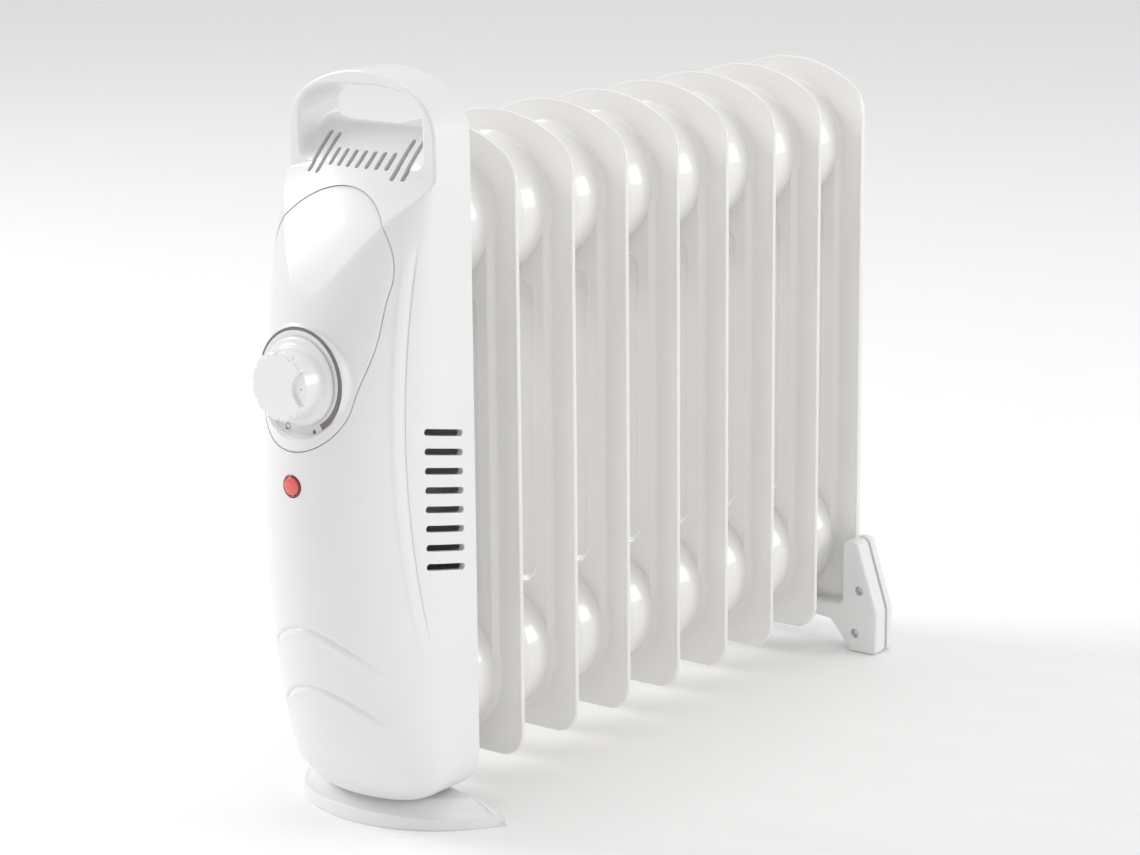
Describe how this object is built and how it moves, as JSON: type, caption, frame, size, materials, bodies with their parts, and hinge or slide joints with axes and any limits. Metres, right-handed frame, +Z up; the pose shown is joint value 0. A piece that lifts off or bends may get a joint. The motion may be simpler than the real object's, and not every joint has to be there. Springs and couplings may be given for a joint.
{
  "type": "oil filled radiator heater",
  "caption": "Portable oil filled radiator: a row of pressed steel fins on two headers, a bowed control housing with handle and thermostat dial, and moulded feet.",
  "frame": {"origin": "centre of the object's box at floor level, where the feet stand", "axes": "+Z up; the row of fins runs along Y, with the control housing and its dial facing -Y; X is across the fins"},
  "size_m": [0.128, 0.422, 0.3475],
  "materials": {
    "fin_enamel": "gloss enamel baked on pressed steel",
    "white_plastic": "semi-gloss moulded polypropylene",
    "knob_plastic": "semi-gloss moulded plastic",
    "zinc_steel": "zinc plated",
    "brass": "machined",
    "element_steel": "dark oxidised tube",
    "seal_rubber": "matte",
    "ceramic": "matt steatite",
    "brown_resin": "phenolic moulding",
    "lamp_red": "translucent red lens",
    "nylon": "natural nylon",
    "black_plastic": "moulded plastic",
    "brown_wire": "flexible wire insulation",
    "blue_wire": "flexible wire insulation",
    "green_wire": "flexible wire insulation"
  },
  "bodies": {
    "root": {"fin_1": "fin_enamel", "fin_2": "fin_enamel", "fin_3": "fin_enamel", "fin_4": "fin_enamel", "fin_5": "fin_enamel", "fin_6": "fin_enamel", "fin_7": "fin_enamel", "fin_8": "fin_enamel", "rear_header_caps": "fin_enamel", "upper_header_plate": "zinc_steel", "lower_header_plate": "zinc_steel", "filler_plug": "brass", "element_flange": "brass", "element_gasket": "seal_rubber", "heating_element": "element_steel", "terminal_insulators": "ceramic", "thermal_cutout": "brown_resin", "cutout_strap": "zinc_steel", "mounting_bracket": "zinc_steel", "bracket_screws": "zinc_steel", "front_cover": "white_plastic", "rear_cover": "white_plastic", "cover_screws": "zinc_steel", "dial_plate": "white_plastic", "thermostat_body": "ceramic", "thermostat_bush": "brass", "thermostat_nut": "zinc_steel", "bimetal_strip": "brass", "lamp_lens": "lamp_red", "lamp_holder": "nylon", "tip_switch_frame": "black_plastic", "tip_pin": "zinc_steel", "tip_microswitch": "black_plastic", "terminal_block": "ceramic", "terminal_screws": "brass", "live_wire": "brown_wire", "neutral_wire": "blue_wire", "earth_wire": "green_wire", "cord_gland": "seal_rubber", "front_foot": "white_plastic", "front_foot_screws": "zinc_steel", "rear_foot_front": "white_plastic", "rear_foot_back": "white_plastic", "rear_foot_screws": "zinc_steel"},
    "dial": {"knob": "knob_plastic", "thermostat_spindle": "brass"},
    "pendulum": {"tip_pendulum": "zinc_steel"}
  },
  "joints": [
    {"name": "dial_turn", "type": "hinge", "parent": "root", "child": "dial", "pos_m": [0, -0.19599, 0.2145], "axis": [0, -1, 0], "range_deg": [-62, 250]},
    {"name": "tip_swing", "type": "hinge", "parent": "root", "child": "pendulum", "pos_m": [0, -0.16851, 0.082], "axis": [0, 1, 0], "range_deg": [-20, 20]}
  ]
}
